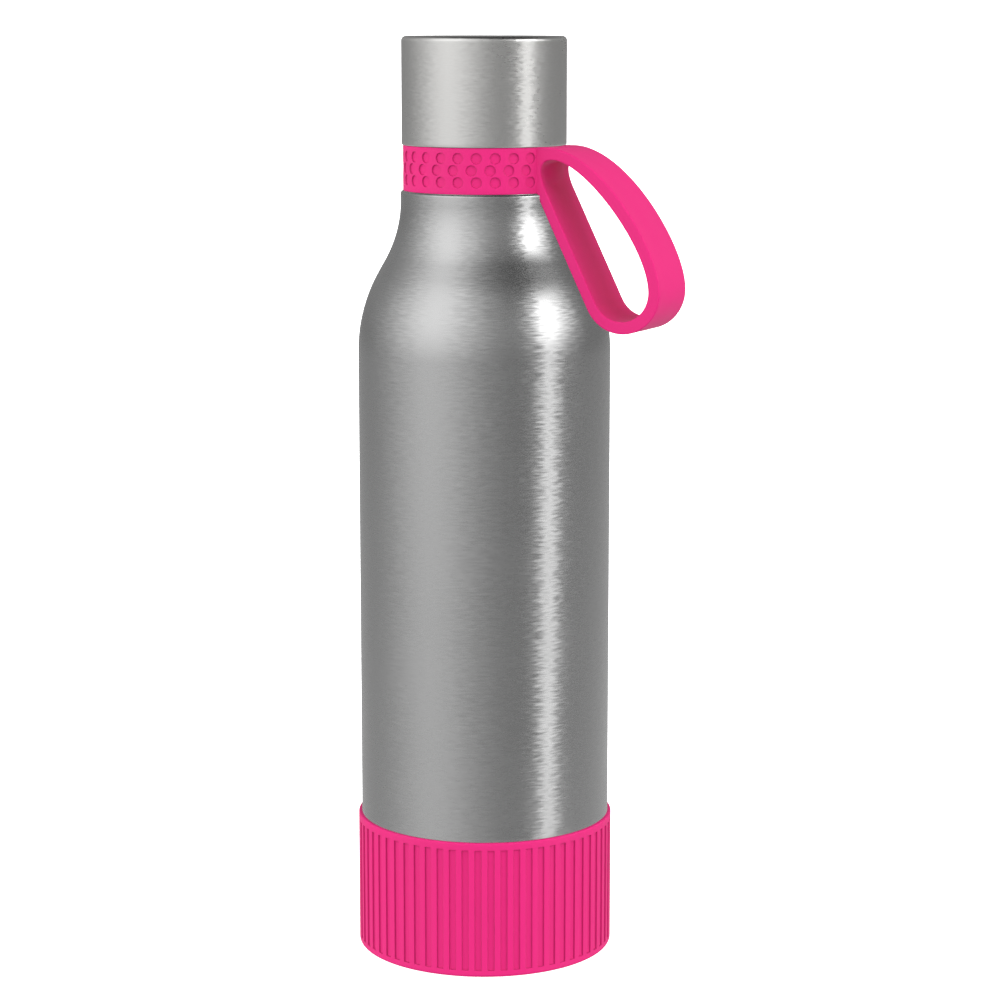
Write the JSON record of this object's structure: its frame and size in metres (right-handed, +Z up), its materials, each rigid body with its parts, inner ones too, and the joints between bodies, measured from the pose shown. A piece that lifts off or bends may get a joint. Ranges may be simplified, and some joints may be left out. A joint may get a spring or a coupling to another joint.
{
  "type": "stainless steel drinking bottle",
  "caption": "Slim vacuum-walled steel drinking bottle with a screw cap, a silicone collar with a carry loop, and a grooved silicone boot.",
  "frame": {"origin": "on the bottle's axis at the underside of the boot, where the bottle stands", "axes": "+Z up along the bottle's axis, +X towards the carry loop"},
  "size_m": [0.0929, 0.072, 0.2568],
  "materials": {
    "shell_steel": "stainless steel brushed round the axis, satin",
    "cap_steel": "stainless steel brushed round the axis, satin",
    "plain_steel": "drawn stainless steel, dull",
    "liner_steel": "electropolished stainless steel",
    "sealing_metal": "dark sintered metal, matte",
    "core_plastic": "moulded polypropylene, satin",
    "foam": "white moulded foam, matte",
    "seal_silicone": "translucent grey silicone, matte",
    "pink_silicone": "saturated pink silicone rubber, matte"
  },
  "bodies": {
    "boot": {"boot": "pink_silicone"},
    "bottle": {"outer_shell": "shell_steel", "outer_bottom": "plain_steel", "bottom_cover": "plain_steel", "vacuum_plug": "sealing_metal", "getter": "sealing_metal", "inner_liner": "liner_steel", "liner_bottom": "liner_steel", "neck_ring": "plain_steel"},
    "collar": {"neck_band": "pink_silicone"},
    "loop": {"carry_loop": "pink_silicone"},
    "cap_carrier": {"mouth_seal": "seal_silicone"},
    "cap": {"cap_shell": "cap_steel", "cap_core": "core_plastic", "plug_base": "core_plastic", "cap_foam": "foam"}
  },
  "joints": [
    {"name": "bottle_pull_out", "type": "slide", "parent": "boot", "child": "bottle", "axis": [0, 0, 1], "range_m": [0, 0.045]},
    {"name": "collar_swivel", "type": "hinge", "parent": "bottle", "child": "collar", "pos_m": [0, 0, 0.22], "axis": [0, 0, 1], "continuous": true},
    {"name": "loop_flex", "type": "hinge", "parent": "collar", "child": "loop", "pos_m": [0.0244, 0, 0.2272], "axis": [0, -1, 0], "range_deg": [0, 25], "stiffness_Nm_per_rad": 0.15},
    {"name": "cap_lift", "type": "slide", "parent": "bottle", "child": "cap_carrier", "axis": [0, 0, 1], "range_m": [0, 0.0301]},
    {"name": "cap_unscrew", "type": "hinge", "parent": "cap_carrier", "child": "cap", "pos_m": [0, 0, 0.24], "axis": [0, 0, 1], "range_deg": [0, 900]}
  ],
  "couplings": [
    {"joint": "cap_lift", "follows": "cap_unscrew", "m_per_rad": 0.0019099}
  ]
}
